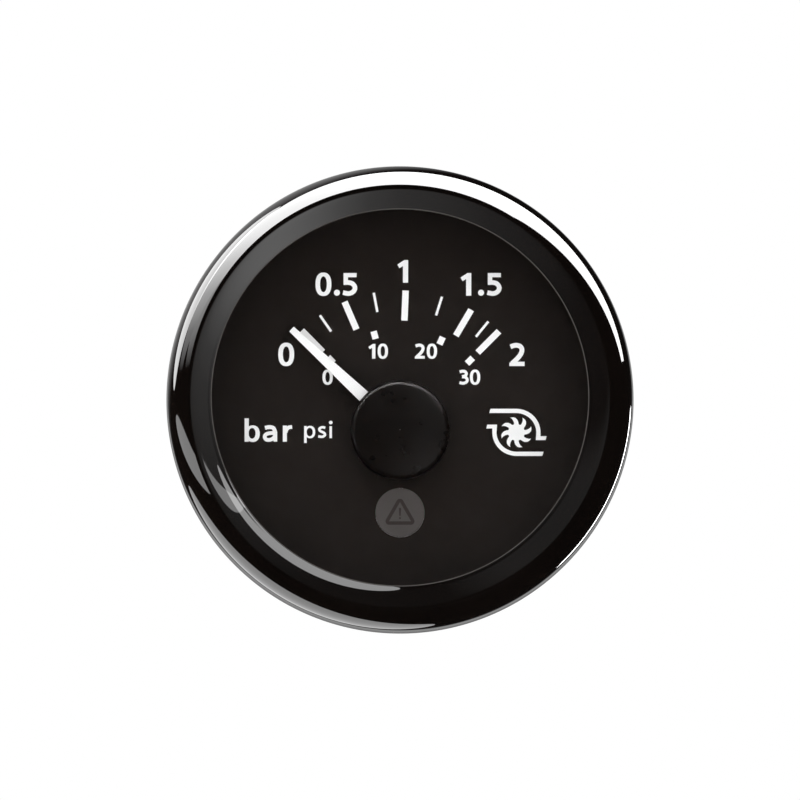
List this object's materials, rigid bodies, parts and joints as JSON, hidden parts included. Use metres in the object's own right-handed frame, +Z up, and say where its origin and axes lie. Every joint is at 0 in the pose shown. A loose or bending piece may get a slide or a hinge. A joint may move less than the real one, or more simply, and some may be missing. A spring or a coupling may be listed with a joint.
{
  "type": "boost gauge",
  "caption": "Round panel gauge for boost pressure: glossy black bezel, dark dial in bar and psi, swept pointer on a geared stepper movement, clamp nut and rear connector.",
  "frame": {"origin": "on the barrel's axis, in the plane of the panel's front face, which the gasket seats on", "axes": "+Y out of the back along the barrel, dial facing -Y, +Z up the dial, +X to the right of the dial"},
  "size_m": [0.062, 0.0388, 0.062],
  "materials": {
    "case_black": "fine moulded black plastic",
    "bezel_gloss": "polished black plastic",
    "lens_clear": "flat clear lens",
    "seal_rubber": "soft black rubber",
    "dial_black": "near-black matt film with white print",
    "lamp_window": "smoked grey window",
    "guide_clear": "clear acrylic",
    "reflector_white": "white moulded plastic",
    "board_green": "green solder mask",
    "led_body": "white case with a yellow face",
    "screw_steel": "zinc plated",
    "chip_black": "black epoxy",
    "capacitor_can": "bare can",
    "chip_ceramic": "tan ceramic",
    "movement_white": "off-white moulded plastic",
    "stator_iron": "soft iron sheet",
    "bobbin_cream": "cream nylon",
    "coil_copper": "enamelled copper wire",
    "contact_metal": "plated contact metal",
    "connector_black": "glass-filled nylon",
    "pointer_white": "white paint on clear plastic",
    "cap_gloss": "satin to gloss black",
    "shaft_steel": "ground steel",
    "gear_plastic": "natural acetal",
    "magnet_dark": "dark ferrite",
    "nut_black": "moulded black plastic"
  },
  "bodies": {
    "root": {"housing": "case_black", "bezel_ring": "bezel_gloss", "front_lens": "lens_clear", "lens_seal": "seal_rubber", "spacer_ring": "case_black", "panel_gasket": "seal_rubber", "dial_plate": "dial_black", "warning_light_lens": "lamp_window", "light_guide": "guide_clear", "light_box": "reflector_white", "circuit_board": "board_green", "backlight_leds": "led_body", "warning_led": "led_body", "board_screws": "screw_steel", "control_chip": "chip_black", "voltage_regulator": "chip_black", "board_capacitor": "capacitor_can", "small_chips": "chip_ceramic", "motor_case_front": "movement_white", "motor_case_rear": "movement_white", "stator_plate": "stator_iron", "coil_bobbins": "bobbin_cream", "coil_windings": "coil_copper", "motor_pins": "contact_metal", "connector_socket": "connector_black", "connector_pins": "contact_metal"},
    "pointer": {"pointer": "pointer_white", "pointer_cap": "cap_gloss", "pointer_shaft": "shaft_steel", "output_wheel": "gear_plastic"},
    "intermediate": {"intermediate_wheel": "gear_plastic"},
    "rotor": {"rotor_magnet": "magnet_dark", "rotor_pinion": "gear_plastic"},
    "nut": {"clamp_nut": "nut_black"}
  },
  "joints": [
    {"name": "rotor_spin", "type": "hinge", "parent": "root", "child": "rotor", "pos_m": [0, 0.012, 0.0073], "axis": [0, 1, 0], "range_deg": [0, 16560]},
    {"name": "intermediate_spin", "type": "hinge", "parent": "root", "child": "intermediate", "pos_m": [0.00597, 0.009, 0.00412], "axis": [0, 1, 0], "range_deg": [-1380, 0]},
    {"name": "pointer_sweep", "type": "hinge", "parent": "root", "child": "pointer", "pos_m": [0, 0, -0.0042], "axis": [0, 1, 0], "range_deg": [0, 92]},
    {"name": "nut_travel", "type": "slide", "parent": "root", "child": "nut", "axis": [0, 1, 0], "range_m": [-0.0025, 0.01]}
  ],
  "couplings": [
    {"joint": "intermediate_spin", "follows": "rotor_spin", "ratio": -0.083333},
    {"joint": "pointer_sweep", "follows": "rotor_spin", "ratio": 0.0055556}
  ]
}
